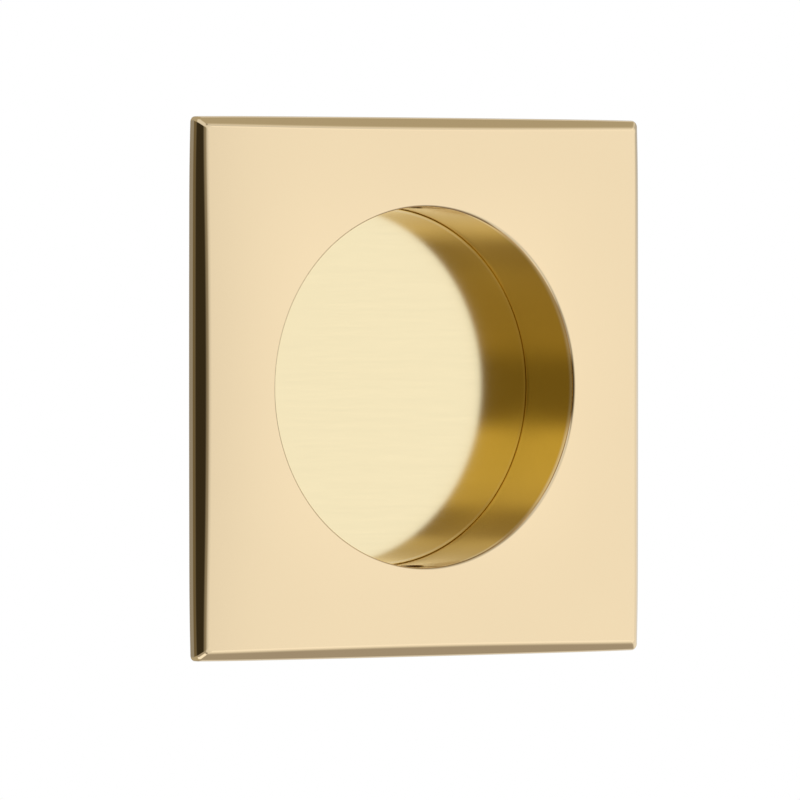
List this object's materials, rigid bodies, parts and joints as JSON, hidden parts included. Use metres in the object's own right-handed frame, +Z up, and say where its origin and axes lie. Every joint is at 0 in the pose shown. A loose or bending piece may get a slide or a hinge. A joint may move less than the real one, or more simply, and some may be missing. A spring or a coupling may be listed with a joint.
{
  "type": "flush pull",
  "caption": "Square brass flush pull with a bevelled, slightly domed face and a round finger recess, for a sliding or cupboard door.",
  "frame": {"origin": "on the cup's axis, level with the back of the plate, where the door's face comes", "axes": "front faces -Y, +Y goes back into the door along the cup's axis, +Z is up, +X is to the right seen from the front"},
  "size_m": [0.07, 0.0149, 0.07],
  "materials": {
    "polished_brass": "polished and buffed, the bore left satin",
    "satin_brass": "satin brushed",
    "screw_brass": "turned"
  },
  "bodies": {
    "root": {"pull_body": "polished_brass", "floor_disc": "satin_brass", "disc_screws": "screw_brass"}
  },
  "joints": []
}
